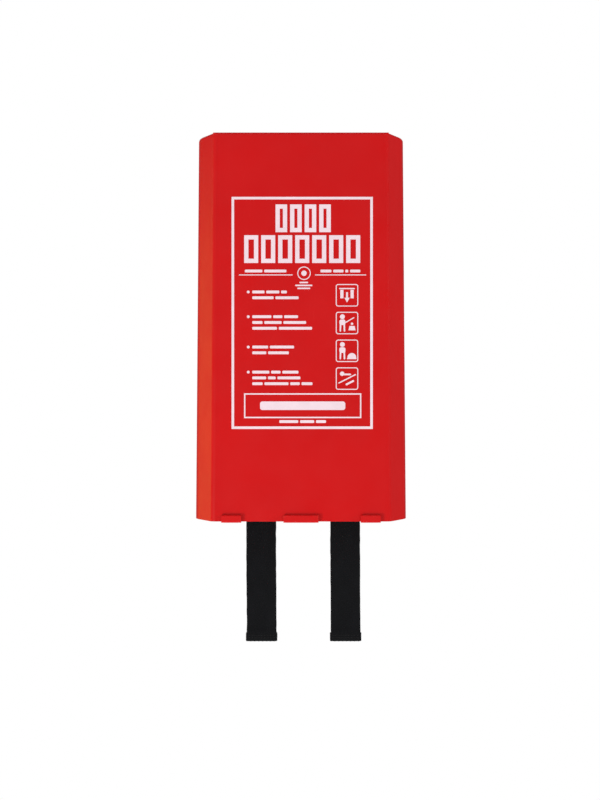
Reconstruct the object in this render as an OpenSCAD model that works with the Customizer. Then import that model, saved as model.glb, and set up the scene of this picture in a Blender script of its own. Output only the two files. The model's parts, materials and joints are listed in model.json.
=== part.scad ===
// Wall case with a folded fire blanket inside and two pull straps hanging out of it.
// Frame: X to the right seen from the front, Z up, the wall side at Y = 0 and the front at
// negative Y. The origin is the middle of the two wall screws, on the back face.

/* [Case] */
// height of the case
case_h = 320; // [260:1:400]
// width of the case at its rear rim, along the bottom edge
case_w = 180; // [150:1:220]
// how much narrower the case is along its top edge
case_taper = 5; // [0:0.5:12]
// depth of the case from the wall to the front face
case_d = 61; // [50:0.5:80]
// wall thickness of the front cover
cover_t = 2.2; // [1.5:0.1:3]
// thickness of the back plate
plate_t = 3; // [2:0.1:4.5]
// how far in from the rear rim the flat front face ends, on each side
face_inset = 16.6; // [8:0.1:24]
// depth of the side walls behind the slanted edges, on the front cover
side_depth = 28; // [15:0.5:40]
// how far the side walls lean in between the rear rim and the shoulder
side_draft = 1.8; // [0.5:0.1:4]
// radius between the slanted edges and the side walls
shoulder_r = 40; // [5:1:60]
// radius along both upright edges of the front face
face_edge_r = 5.5; // [1:0.1:8]
// radius along the top edge of the front face
top_edge_r = 3.4; // [1:0.1:6]

/* [Back plate] */
// height of the locating ridge that the cover fits over
ridge_h = 7; // [4:0.5:10]
// thickness of the locating ridge
ridge_t = 1.8; // [1.2:0.1:3]
// gap between the ridge and the cover wall
ridge_gap = 0.3; // [0.1:0.05:0.6]
// how far each snap catch stands out of the ridge
catch_out = 0.7; // [0.3:0.1:1.2]
// length of each snap catch
catch_len = 14; // [6:1:30]
// distance between the two wall screws, one above the other
screw_spacing = 200; // [100:5:260]
// diameter of the wall screw holes
screw_hole_d = 5; // [3.5:0.1:6.5]
// diameter of the raised pad around each screw hole
screw_pad_d = 18; // [12:0.5:26]
// height of the raised pad around each screw hole
screw_pad_h = 1.2; // [0.5:0.1:2.5]
// diameter of the recess for the screw head
screw_head_d = 11; // [8:0.5:16]
// depth of the recess for the screw head
screw_head_deep = 1.6; // [0.8:0.1:2.5]

/* [Bottom flap] */
// how far the sides of the flap stay inside the edges of the front face
flap_inset = 7.4; // [4:0.1:12]
// thickness of the flap and its tongues
flap_t = 1.5; // [1:0.1:2.5]
// how far the flap stands below the rim of the case
flap_below = 0.8; // [0.2:0.1:2]
// depth of the undivided strip beside the hinge
flap_root = 15; // [8:0.5:25]
// share of the room between the straps that the middle tongue takes
mid_tongue_share = 0.531; // [0.3:0.001:0.8]
// width of each outer hook
side_hook_w = 16.3; // [10:0.1:25]
// distance from the side of the flap to the middle of the hook beside it
side_hook_inset = 8.8; // [6:0.1:16]
// height of the hooks, from the underside of the flap
hook_h = 6.2; // [4:0.1:10]
// thickness of the hooks in front of the face
hook_t = 2.8; // [1.5:0.1:4]
// gap between the hooks and the face
hook_gap = 0.3; // [0.1:0.05:0.8]
// how much narrower each tongue is than its hook, on each side
tongue_inset = 2.3; // [0.5:0.1:3]
// gap around each tongue in the notch of the cover
notch_gap = 0.3; // [0.1:0.05:0.8]
// radius of the living hinge along the flap
hinge_r = 0.4; // [0.25:0.05:0.6]
// gap between the living hinge and the edges beside it
hinge_gap = 0.05; // [0.02:0.01:0.1]

/* [Blanket] */
// how far the sides of the folded blanket stay inside the upper edges of the front face
pack_inset = 1.9; // [1:0.1:12]
// gap between the folded blanket and the back plate
pack_back_gap = 6.5; // [3:0.1:12]
// gap between the folded blanket and the inside of the top wall
pack_top_gap = 14.8; // [5:0.1:30]
// gap between the folded blanket and the inside of the front wall
pack_front_gap = 3.3; // [2:0.1:8]
// height of the blanket's lower end above the rim of the case
pack_z = 10; // [6:0.5:20]
// corner radius of the folded blanket
pack_r = 9; // [4:0.5:16]

/* [Pull straps] */
// width of the strap webbing
strap_w = 25; // [15:0.5:40]
// thickness of the strap webbing
strap_t = 1.6; // [1:0.1:3]
// gap between each strap and the outer tongue beside it
strap_side_gap = 3.65; // [1:0.05:6]
// shift of both straps to the right
strap_shift = 1.05; // [-2:0.1:2]
// depth of the straps behind the front face
strap_y = 29; // [20:0.5:40]
// how far the straps hang below the rim of the case
strap_out = 103; // [60:1:160]
// height of the folded hem at the end of each strap
strap_hem_h = 7.4; // [4:0.1:14]
// thickness of the folded hem at the end of each strap
strap_hem_t = 3.4; // [2:0.1:5]
// how far the folded hem stands out past each edge of the strap
strap_hem_out = 0.8; // [0:0.1:2]
// length of strap sewn to the blanket
anchor_h = 45; // [25:1:80]
// gap between a strap and the blanket folds around it
anchor_gap = 0.5; // [0.3:0.05:1]
// width of the sewn thread lines
thread_w = 0.6; // [0.4:0.1:1]
// height of the sewn thread lines
thread_h = 0.3; // [0.2:0.05:0.4]
// distance of the thread lines from the strap edge
thread_in = 3; // [1.5:0.5:6]

/* [Printed panel] */
// thickness of the printed ink
ink_t = 0.15; // [0.1:0.01:0.3]
// gap under the ink
ink_gap = 0.02; // [0.01:0.01:0.05]
// how far the printed border stays inside the upper edges of the front face
print_inset = 12.9; // [8:0.1:25]
// height of the printed border on artwork 116 wide, as are the print sizes below
border_h = 190.6; // [150:0.1:240]
// line width of the printed border
border_line = 2.1; // [1:0.1:4]
// distance from the top of the case to the top of the border
border_down = 53.4; // [20:0.1:90]
// shift of the print to the right
print_x = 1; // [-3:0.1:3]
// height of one heading block
title_h = 22.8; // [12:0.1:30]
// distance from the top of the border to the heading
title_down = 6.2; // [3:0.1:20]
// gap between the two heading rows
title_row_gap = 2.5; // [1:0.1:6]
// stroke width of the heading blocks
title_stroke = 3.5; // [1.5:0.1:5]
// gap between heading blocks
title_gap = 2.4; // [1:0.1:5]
// height of one line of small print
line_h = 2.3; // [1:0.1:4]
// distance from one line of small print to the next
line_pitch = 4.75; // [3:0.05:8]
// gap between two words of small print
word_gap = 1.5; // [0.5:0.1:3]
// thin line width of rules, seal and pictogram frames
thin_line = 0.75; // [0.4:0.05:1.5]
// radius of the round seal
seal_r = 5.5; // [3:0.1:9]
// side length of the pictogram frames
icon_w = 18.4; // [12:0.1:24]
// distance from one pictogram to the next
icon_pitch = 22.8; // [18:0.1:32]
// distance from the middle of the print to the middle of the pictograms
icon_x = 36.8; // [25:0.1:45]
// width of the framed name box
name_box_w = 96.3; // [60:0.1:110]
// height of the framed name box
name_box_h = 20.4; // [10:0.1:30]
// line width of the framed name box
name_box_line = 1.1; // [0.5:0.1:3]

/* [Hidden] */
$fn = 64;
far = 400;
eps = 0.01;
face_hw = case_w / 2 - face_inset;
face_top_hw = face_hw - case_taper / 2;
cover_d = case_d - plate_t;
shoulder_hw = case_w / 2 - side_draft;
shoulder_d = cover_d - side_depth;
bevel_a = atan((shoulder_hw - face_hw) / shoulder_d);
side_a = atan(side_draft / (cover_d - shoulder_d));
taper_a = atan(case_taper / 2 / case_h);
hinge_y = case_d - hinge_r - 0.1;
hinge_z = hinge_r - flap_below;
flap_top = flap_t - flap_below;
flap_w = 2 * (face_hw - flap_inset);
side_hook_x = flap_w / 2 - side_hook_inset;
strap_x = side_hook_x - side_hook_w / 2 + tongue_inset - strap_side_gap - strap_w / 2;
mid_hook_w = 2 * (mid_tongue_share * (strap_x - strap_w / 2) + tongue_inset);
swing_z = pack_z - 1.5;
tongue_end = case_d - flap_root;
pack_y = cover_t + pack_front_gap;
pack_w = 2 * (face_top_hw - pack_inset);
pack_d = cover_d - pack_back_gap - pack_y;
pack_h = case_h - cover_t - pack_top_gap - pack_z;
ridge_in = cover_t + ridge_gap;
art_w = 116;
print_k = 2 * (face_top_hw - print_inset) / art_w;
border_top = case_h - border_down;
rule_down = title_down + 2 * title_h + title_row_gap + 9.8;
steps_down = [76.6, 96.9, 121.8, 142.4];
step_words = [
    [[10, 10.7, 4.7], [17.5, 19]],
    [[15.7, 7.5, 11.4], [8.4, 14.2, 18.6], [20.3, 27.3]],
    [[13, 19.8], [11.5, 17]],
    [[14, 7.7, 13.2], [11.4, 6.3, 18.8], [8.5, 19.7, 7.8, 8.9]]
];
steps_x = -41;
name_box_down = 161.3;

// Everything is drawn from the lower edge of the front face and set into the frame here.
module in_frame() translate([0, -case_d, -case_h / 2]) children();

// ---- plane shapes ----

// Cuts one corner of a plane shape round. The corner c lies between directions a and b. The arc
// stands out of both edges by a hair, so that it crosses them instead of only touching them.
module corner_cut(c, a, b, r) {
    hair = r * 0.0015;
    ua = a / norm(a);
    ub = b / norm(b);
    half = acos(ua * ub) / 2;
    reach = r / tan(half);
    mid = (ua + ub) / norm(ua + ub);
    difference() {
        polygon([c + ua * reach, c - mid * 0.5, c + ub * reach]);
        translate(c + mid * (r - hair) / sin(half)) circle(r);
    }
}

// Cross-section of the case, set in by t, with its far side left wide open.
module half_section(t, r_face, r_shoulder) {
    fx = face_hw + tan(bevel_a) * t - t / cos(bevel_a);
    top = shoulder_hw - tan(side_a) * shoulder_d - t / cos(side_a) - face_hw + t / cos(bevel_a);
    sy = top / (tan(bevel_a) - tan(side_a));
    sx = face_hw + tan(bevel_a) * sy - t / cos(bevel_a);
    ex = shoulder_hw + tan(side_a) * (cover_d + 5 - shoulder_d) - t / cos(side_a);
    f = [fx, t];
    s = [sx, sy];
    e = [ex, cover_d + 5];
    difference() {
        polygon([[-far, t], f, s, e, [-far, cover_d + 5]]);
        corner_cut(f, [-1, 0], s - f, r_face);
        corner_cut(s, f - s, e - s, r_shoulder);
    }
}

// One side of the case, leaning in towards its top.
module tilted_half(t, r_face, r_shoulder) {
    rotate([0, -taper_a, 0]) translate([0, 0, -10])
        linear_extrude(height = case_h + 20) half_section(t, r_face, r_shoulder);
}

// The case as a solid block, set in by t.
module both_halves(t, r_face, r_shoulder) {
    intersection() {
        tilted_half(t, r_face, r_shoulder);
        mirror([1, 0, 0]) tilted_half(t, r_face, r_shoulder);
    }
}

// A slab from z0 to z1 that reaches from in front of the face to y1. Its upper front edge is
// rounded with radius r and meets the face at a slight angle.
module slab(y1, z0, z1, r) {
    graze = 0.03;
    translate([-far / 2, 0, 0]) rotate([90, 0, 90]) linear_extrude(height = far) difference() {
        translate([-2, z0]) square([y1 + 2, z1 - z0]);
        if (r > 0) difference() {
            translate([-3, z1 - r]) square([3 + r - graze, r + 1]);
            translate([r - graze, z1 - r]) circle(r);
        }
    }
}

// Front outline of the case, set in by t.
module outline(t) {
    b = case_w / 2 - t;
    a = b - case_taper / 2;
    polygon([[-b, 0], [b, 0], [a, case_h], [-a, case_h]]);
}

module stand_up(y0, depth) {
    translate([0, y0 + depth, 0]) rotate([90, 0, 0]) linear_extrude(height = depth) children();
}

module box(x0, x1, y0, y1, z0, z1) {
    translate([x0, y0, z0]) cube([x1 - x0, y1 - y0, z1 - z0]);
}

// ---- case ----

// Middles of the tongues, and half their widths.
tongues = [
    [-side_hook_x, side_hook_w / 2],
    [0, mid_hook_w / 2],
    [side_hook_x, side_hook_w / 2]
];

module catches(grow) {
    for (side = [-1, 1])
        for (z = [case_h * 0.2, case_h * 0.78]) {
            x = case_w / 2 - ridge_in - case_taper / 2 * z / case_h;
            translate([side * (x - side_draft * 0.1), cover_d - ridge_h * 0.55, z])
                rotate([0, side * -taper_a, 0])
                cube([2 * catch_out + 2 * grow, 2.4 + 2 * grow, catch_len + 2 * grow], center = true);
        }
}

module front_cover() {
    color([0.8, 0.06, 0.07]) in_frame() difference() {
        intersection() {
            both_halves(0, face_edge_r, shoulder_r);
            slab(cover_d, 0, case_h, top_edge_r);
        }
        intersection() {
            both_halves(cover_t, face_edge_r - cover_t, shoulder_r - cover_t);
            slab(cover_d + 2, -2, case_h - cover_t, 0);
        }
        for (t = tongues) {
            w = t[1] - tongue_inset + notch_gap;
            box(t[0] - w, t[0] + w, -1, cover_t + 1, -1, flap_top + notch_gap);
        }
        catches(0.25);
    }
}

module back_plate() {
    hw = flap_w / 2 + 0.3;
    low = hinge_z + hinge_r + hinge_gap;
    color([0.76, 0.05, 0.06]) in_frame() difference() {
        union() {
            stand_up(cover_d + eps, plate_t - eps) outline(0);
            difference() {
                stand_up(cover_d - ridge_h, ridge_h + 0.5) difference() {
                    intersection() {
                        outline(ridge_in + 0.4);
                        translate([-far / 2, 20]) square([far, case_h - 20 - ridge_in]);
                    }
                    intersection() {
                        outline(ridge_in + 0.4 + ridge_t);
                        translate([-far / 2, 0]) square([far, case_h - ridge_in - ridge_t]);
                    }
                }
            }
            intersection() {
                catches(0);
                box(-far, far, 0, cover_d, 0, case_h);
            }
            for (s = [-1, 1])
                translate([0, cover_d - screw_pad_h, case_h / 2 + s * screw_spacing / 2])
                    rotate([-90, 0, 0]) cylinder(h = screw_pad_h + 0.5, d = screw_pad_d);
        }
        for (s = [-1, 1])
            translate([0, cover_d - screw_pad_h, case_h / 2 + s * screw_spacing / 2]) rotate([-90, 0, 0]) {
                translate([0, 0, -1]) cylinder(h = plate_t + screw_pad_h + 2, d = screw_hole_d);
                translate([0, 0, -1]) cylinder(h = screw_head_deep + 1, d = screw_head_d);
            }
        // room for the hinge and the root of the flap
        translate([-hw, 0, 0]) rotate([90, 0, 90]) linear_extrude(height = 2 * hw)
            polygon([
                [case_d + 1, -1],
                [case_d + 1, low],
                [hinge_y - hinge_r - hinge_gap, low],
                [cover_d - 1, low + hinge_y - hinge_r - hinge_gap - cover_d + 1],
                [cover_d - 1, -1]
            ]);
    }
}

module living_hinge() {
    color([0.76, 0.05, 0.06]) in_frame()
        translate([-flap_w / 2, hinge_y, hinge_z]) rotate([0, 90, 0]) cylinder(h = flap_w, r = hinge_r);
}

module bottom_flap() {
    root_y = hinge_y - hinge_r - hinge_gap;
    color([0.8, 0.06, 0.07]) in_frame() {
        // strip beside the hinge, slanted where it folds against the back plate
        translate([-flap_w / 2, 0, 0]) rotate([90, 0, 90]) linear_extrude(height = flap_w)
            polygon([
                [tongue_end, -flap_below],
                [root_y, -flap_below],
                [root_y - flap_t, flap_top],
                [tongue_end, flap_top]
            ]);
        for (t = tongues) {
            w = t[1] - tongue_inset;
            box(t[0] - w, t[0] + w, -hook_gap - hook_t + 0.5, tongue_end + 0.5, -flap_below, flap_top);
            // hook in front of the face, with a rounded upper edge
            translate([t[0] - t[1], 0, 0]) rotate([90, 0, 90]) linear_extrude(height = 2 * t[1])
                difference() {
                    translate([-hook_gap - hook_t, -flap_below]) square([hook_t, hook_h]);
                    corner_cut([-hook_gap - hook_t, hook_h - flap_below], [1, 0], [0, -1], 1.2);
                    corner_cut([-hook_gap - hook_t, -flap_below], [1, 0], [0, 1], 1.2);
                }
        }
    }
}

// ---- blanket and straps ----

module folded_blanket() {
    color([0.92, 0.91, 0.87]) in_frame() difference() {
        translate([0, pack_y, pack_z]) linear_extrude(height = pack_h) difference() {
            translate([-pack_w / 2, 0]) square([pack_w, pack_d]);
            for (s = [-1, 1]) {
                corner_cut([s * pack_w / 2, 0], [-s, 0], [0, 1], pack_r);
                corner_cut([s * pack_w / 2, pack_d], [-s, 0], [0, -1], pack_r);
            }
        }
        for (s = [-1, 1]) {
            x = s * strap_x + strap_shift;
            w = strap_w / 2 + anchor_gap;
            d = strap_t / 2 + anchor_gap;
            box(x - w, x + w, strap_y - d, strap_y + d, pack_z - 1, pack_z + anchor_h + anchor_gap);
        }
    }
}

module strap_anchor(s) {
    x = s * strap_x + strap_shift;
    color([0.09, 0.09, 0.1]) in_frame()
        box(x - strap_w / 2, x + strap_w / 2, strap_y - strap_t / 2, strap_y + strap_t / 2,
            swing_z + strap_t / 2 + 0.3, pack_z + anchor_h);
}

// Box of sewn lines with a cross in it, on the front of the anchored strap.
module anchor_stitching(s) {
    x = s * strap_x + strap_shift;
    w = strap_w / 2 - thread_in;
    z0 = pack_z + anchor_h - 2 * w - thread_in;
    color([0.14, 0.14, 0.15]) in_frame() translate([x, strap_y - strap_t / 2 - thread_h - 0.02, z0 + w])
        stand_up(0, thread_h) {
            difference() {
                square(2 * w, center = true);
                square(2 * w - 2 * thread_w, center = true);
            }
            for (a = [45, -45]) rotate(a) square([2.7 * w, thread_w], center = true);
        }
}

module pull_strap(s) {
    x = s * strap_x + strap_shift;
    hw = strap_w / 2;
    color([0.09, 0.09, 0.1]) in_frame() {
        box(x - hw, x + hw, strap_y - strap_t / 2, strap_y + strap_t / 2, -strap_out + 0.5, swing_z);
        translate([x - hw, strap_y, swing_z]) rotate([0, 90, 0]) cylinder(h = strap_w, d = strap_t);
        // folded hem with a rounded end
        translate([x - hw - strap_hem_out, strap_y, -strap_out])
            rotate([90, 0, 90]) linear_extrude(height = strap_w + 2 * strap_hem_out) difference() {
                translate([-strap_hem_t / 2, 0]) square([strap_hem_t, strap_hem_h]);
                corner_cut([-strap_hem_t / 2, 0], [1, 0], [0, 1], 1.2);
                corner_cut([strap_hem_t / 2, 0], [-1, 0], [0, 1], 1.2);
            }
    }
}

// Two sewn rows across the hem at the end of the strap.
module hem_stitching(s) {
    x = s * strap_x + strap_shift;
    w = strap_w / 2 - 1;
    color([0.14, 0.14, 0.15]) in_frame()
        for (z = [0.45, 0.75])
            box(x - w, x + w, strap_y - strap_hem_t / 2 - thread_h - 0.02,
                strap_y - strap_hem_t / 2 - 0.02,
                -strap_out + z * strap_hem_h - thread_w / 2, -strap_out + z * strap_hem_h + thread_w / 2);
}

module left_strap_anchor() strap_anchor(-1);
module right_strap_anchor() strap_anchor(1);
module left_anchor_stitching() anchor_stitching(-1);
module right_anchor_stitching() anchor_stitching(1);
module left_pull_strap() pull_strap(-1);
module right_pull_strap() pull_strap(1);
module left_hem_stitching() hem_stitching(-1);
module right_hem_stitching() hem_stitching(1);

// ---- print ----

// Ink on the front face. Shapes are drawn from the middle of the border's top edge.
module ink() {
    color([0.95, 0.92, 0.93]) in_frame() translate([print_x, 0, border_top])
        stand_up(-ink_gap - ink_t, ink_t) scale(print_k) children();
}

module ring(w, h, line) {
    difference() {
        square([w, h], center = true);
        square([w - 2 * line, h - 2 * line], center = true);
    }
}

module round_square(w, h, r) {
    difference() {
        square([w, h], center = true);
        for (sx = [-1, 1])
            for (sy = [-1, 1])
                corner_cut([sx * w / 2, sy * h / 2], [-sx, 0], [0, -sy], r);
    }
}

// A bar with rounded ends, from its left end.
module word(w, h) {
    r = h * 0.3;
    translate([w / 2, 0]) round_square(w, h, r);
}

function sum(v, n) = n <= 0 ? 0 : v[n - 1] + sum(v, n - 1);

// One line of small print: a row of word bars with the given lengths.
module line_of(words) {
    for (i = [0 : len(words) - 1])
        translate([sum(words, i) + i * word_gap, 0]) word(words[i], line_h);
}

function line_w(words) = sum(words, len(words)) + (len(words) - 1) * word_gap;

module print_border() ink() translate([0, -border_h / 2]) ring(art_w, border_h, border_line);

// One heading row: n hollow blocks across a width.
module title_row(n, w) {
    bw = (w - (n - 1) * title_gap) / n;
    for (i = [0 : n - 1])
        translate([-w / 2 + bw / 2 + i * (bw + title_gap), 0]) ring(bw, title_h, title_stroke);
}

module print_heading_top() {
    ink() translate([0.8, -title_down - title_h / 2]) title_row(4, 45.4);
}

module print_heading_lower() {
    ink() translate([0, -title_down - title_row_gap - title_h * 1.5]) title_row(7, 95.3);
}

module print_rules() {
    ink() translate([0, -rule_down]) {
        translate([-29.9, 0]) square([44.1, thin_line], center = true);
        translate([31.5, 0]) square([41.9, thin_line], center = true);
    }
}

module print_data_lines() {
    ink() translate([0, -rule_down + 3.2]) {
        translate([-47.1, 0]) line_of([14.4, 18.2]);
        translate([15, 0]) line_of([9, 8.4, 2.4, 8.4]);
    }
}

module print_seal() {
    ink() translate([1.5, -rule_down + 1.4]) {
        difference() {
            circle(seal_r);
            circle(seal_r - thin_line);
        }
        circle(seal_r * 0.4);
    }
}

module print_seal_lines() {
    ink() for (i = [0 : 2]) {
        w = [7, 14, 10.5][i];
        translate([1.3 - w / 2, -rule_down - 6.2 - i * 2.4]) word(w, 1.2);
    }
}

module print_steps() {
    ink() for (i = [0 : 3])
        for (k = [0 : len(step_words[i]) - 1])
            translate([steps_x, -steps_down[i] - 1.5 - k * line_pitch]) line_of(step_words[i][k]);
}

module print_step_marks() {
    ink() for (i = [0 : 3]) translate([steps_x - 3.3, -steps_down[i] - 1.5]) circle(line_h / 2);
}

function icon_z(i) = -71.6 - icon_w / 2 - i * icon_pitch;

module print_icon_frames() {
    ink() for (i = [0 : 3]) translate([icon_x, icon_z(i)]) difference() {
        round_square(icon_w, icon_w, 2);
        round_square(icon_w - 2 * thin_line, icon_w - 2 * thin_line, 2 - thin_line);
    }
}

// A bar between two points, with round ends.
module stroke(a, b, w) {
    d = b - a;
    translate((a + b) / 2) rotate(atan2(d[1], d[0])) square([norm(d), w], center = true);
    translate(a) circle(d = w);
    translate(b) circle(d = w);
}

// A standing person seen from behind.
module person() {
    translate([0, 4.6]) circle(2);
    round_square(5, 4.6, 1.6);
    stroke([-1.5, -1], [-1.7, -7], 1.3);
    stroke([1.5, -1], [1.7, -7], 1.3);
}

// Both straps pulled straight down.
module print_icon_pull() {
    ink() translate([icon_x, icon_z(0)]) {
        stroke([-6, 5.5], [6, 5.5], 1);
        for (s = [-1, 1]) translate([s * 4.2, 1]) square([2.6, 7], center = true);
        square([1.6, 5], center = true);
        polygon([[-2.2, -2], [2.2, -2], [0, -6]]);
    }
}

// A person holding a blanket over a pan.
module print_icon_cover() {
    ink() translate([icon_x, icon_z(1)]) {
        translate([-3.8, 0.6]) person();
        stroke([-1, 0.6], [5.6, 4.4], 0.9);
        polygon([[1.2, -6], [7, -6], [6.2, -2.4], [2, -2.4]]);
        translate([4.1, -0.6]) circle(1);
    }
}

// A person beside a covered pan.
module print_icon_leave() {
    ink() translate([icon_x, icon_z(2)]) {
        translate([-3.8, 0.6]) person();
        difference() {
            translate([4, -5.4]) circle(3.6);
            translate([0, -12]) square([8, 6]);
        }
        stroke([0.4, -6.4], [7.4, -6.4], 0.9);
    }
}

// A person lying under a slanted blanket.
module print_icon_smother() {
    ink() translate([icon_x, icon_z(3)]) {
        stroke([-6.6, -3.6], [6.8, 3.2], 1);
        translate([-4, 4]) circle(1.8);
        stroke([-2, 3.4], [2.6, 3.4], 1.4);
        stroke([-0.4, -4.8], [5, -2], 1.6);
    }
}

module print_name_box() {
    ink() translate([0.4, -name_box_down - name_box_h / 2]) ring(name_box_w, name_box_h, name_box_line);
}

module print_name_bar() {
    ink() translate([0.4, -name_box_down - name_box_h / 2]) round_square(70, 7, 2);
}

module print_caption_line() {
    words = [15.5, 11.6, 8.2];
    ink() translate([-line_w(words) / 2 + 0.4, -184.5]) line_of(words);
}

front_cover();
back_plate();
living_hinge();
bottom_flap();
folded_blanket();
left_strap_anchor();
right_strap_anchor();
left_anchor_stitching();
right_anchor_stitching();
left_pull_strap();
right_pull_strap();
left_hem_stitching();
right_hem_stitching();
print_border();
print_heading_top();
print_heading_lower();
print_rules();
print_data_lines();
print_seal();
print_seal_lines();
print_steps();
print_step_marks();
print_icon_frames();
print_icon_pull();
print_icon_cover();
print_icon_leave();
print_icon_smother();
print_name_box();
print_name_bar();
print_caption_line();
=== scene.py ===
import json
import math
import random

import bmesh
import bpy
import numpy as np
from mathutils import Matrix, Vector

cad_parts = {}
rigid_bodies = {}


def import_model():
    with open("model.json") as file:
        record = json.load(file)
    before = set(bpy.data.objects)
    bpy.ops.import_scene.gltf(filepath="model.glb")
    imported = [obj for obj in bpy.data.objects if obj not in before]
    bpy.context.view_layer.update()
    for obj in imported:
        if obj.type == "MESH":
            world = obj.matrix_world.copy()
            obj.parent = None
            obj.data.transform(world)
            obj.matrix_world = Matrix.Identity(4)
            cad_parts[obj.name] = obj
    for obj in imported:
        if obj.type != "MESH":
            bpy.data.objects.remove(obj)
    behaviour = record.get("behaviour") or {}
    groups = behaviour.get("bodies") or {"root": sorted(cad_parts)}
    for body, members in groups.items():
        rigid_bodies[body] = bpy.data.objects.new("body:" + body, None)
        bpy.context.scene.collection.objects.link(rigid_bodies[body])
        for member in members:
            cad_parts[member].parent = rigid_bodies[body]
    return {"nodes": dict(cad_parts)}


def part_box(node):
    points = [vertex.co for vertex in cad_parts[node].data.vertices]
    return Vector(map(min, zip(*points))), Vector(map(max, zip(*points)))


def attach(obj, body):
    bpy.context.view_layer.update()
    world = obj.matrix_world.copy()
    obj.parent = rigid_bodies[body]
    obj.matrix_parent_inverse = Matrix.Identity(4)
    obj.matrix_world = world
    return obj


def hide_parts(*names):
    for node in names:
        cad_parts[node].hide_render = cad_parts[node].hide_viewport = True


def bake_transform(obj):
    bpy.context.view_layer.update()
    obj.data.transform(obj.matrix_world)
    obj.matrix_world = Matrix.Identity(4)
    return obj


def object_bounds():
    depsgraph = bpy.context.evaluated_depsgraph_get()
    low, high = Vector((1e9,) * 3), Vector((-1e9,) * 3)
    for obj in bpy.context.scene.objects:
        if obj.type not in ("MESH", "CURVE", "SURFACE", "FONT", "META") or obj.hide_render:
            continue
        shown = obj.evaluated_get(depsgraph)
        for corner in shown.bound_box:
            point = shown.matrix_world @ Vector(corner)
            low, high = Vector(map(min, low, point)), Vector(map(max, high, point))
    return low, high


for leftover in list(bpy.data.objects):
    bpy.data.objects.remove(leftover)
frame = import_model()
cad_low, cad_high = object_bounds()

# The looks of a wall case with a folded fire blanket inside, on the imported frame.
# Lengths are in metres. X is to the right seen from the front, Z is up, the wall is at Y = 0
# and the front face is at the frame's lowest Y but for the hooks.

MM = 0.001
TURN = 2 * math.pi

# ---------------------------------------------------------------- sizes from the frame

cover_low, cover_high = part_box("front_cover")
pack_low, pack_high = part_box("folded_blanket")
print_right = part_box("print_border")[1].x
SAME = 0.02 * MM  # places closer than this are the same place


# ---------------------------------------------------------------- shader nodes


def finish_of(name, colour, roughness):
    """A new material with its constant colour and roughness, and its tree and shader."""
    made = bpy.data.materials.new(name)
    made.use_nodes = True
    made.diffuse_color = (*colour, 1)
    shader = made.node_tree.nodes["Principled BSDF"]
    shader.inputs["Base Color"].default_value = (*colour, 1)
    shader.inputs["Roughness"].default_value = roughness
    return made, made.node_tree, shader


def put(tree, kind, inputs=None, **settings):
    """Adds a node with its settings, and links or sets each of its inputs."""
    node = tree.nodes.new(kind)
    for name, value in settings.items():
        setattr(node, name, value)
    for key, value in (inputs or {}).items():
        if isinstance(value, bpy.types.NodeSocket):
            tree.links.new(value, node.inputs[key])
        else:
            node.inputs[key].default_value = value
    return node


def sum_of(tree, operation, first, second=0.0, third=0.0):
    """The result of a math node."""
    inputs = {0: first, 1: second, 2: third}
    return put(tree, "ShaderNodeMath", inputs, operation=operation).outputs[0]


def spread(tree, value, low, high, new_low=0.0, new_high=1.0):
    """The value's range low to high, as new_low to new_high, and no further."""
    inputs = {"From Min": low, "From Max": high, "To Min": new_low, "To Max": new_high, "Value": value}
    return put(tree, "ShaderNodeMapRange", inputs).outputs["Result"]


def grains(tree, place, scale, detail=2.0, roughness=0.5):
    """A noise field from 0 to 1, with this many grains to the metre."""
    inputs = {"Vector": place, "Scale": scale, "Detail": detail, "Roughness": roughness}
    return put(tree, "ShaderNodeTexNoise", inputs).outputs["Fac"]


def stretched(tree, place, along):
    """The place, stretched by three factors."""
    inputs = {0: place, 1: along}
    return put(tree, "ShaderNodeVectorMath", inputs, operation="MULTIPLY").outputs[0]


def blended(tree, amount, first, second):
    """A colour between two colours; each may be a constant or a socket."""
    node = put(tree, "ShaderNodeMix", data_type="RGBA")
    for key, value in ((0, amount), (6, first), (7, second)):
        if isinstance(value, bpy.types.NodeSocket):
            tree.links.new(value, node.inputs[key])
        else:
            node.inputs[key].default_value = value if key == 0 else (*value, 1)
    return node.outputs[2]


def relief(tree, height, distance, strength=1.0, under=None):
    """A bump of this height in metres, over the bump under it."""
    inputs = {"Height": height, "Distance": distance, "Strength": strength}
    if under is not None:
        inputs["Normal"] = under
    return put(tree, "ShaderNodeBump", inputs).outputs["Normal"]


def scaled(colour, factor):
    """The colour, lighter or darker."""
    return tuple(min(1.0, part * factor) for part in colour)


# ---------------------------------------------------------------- materials


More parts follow.
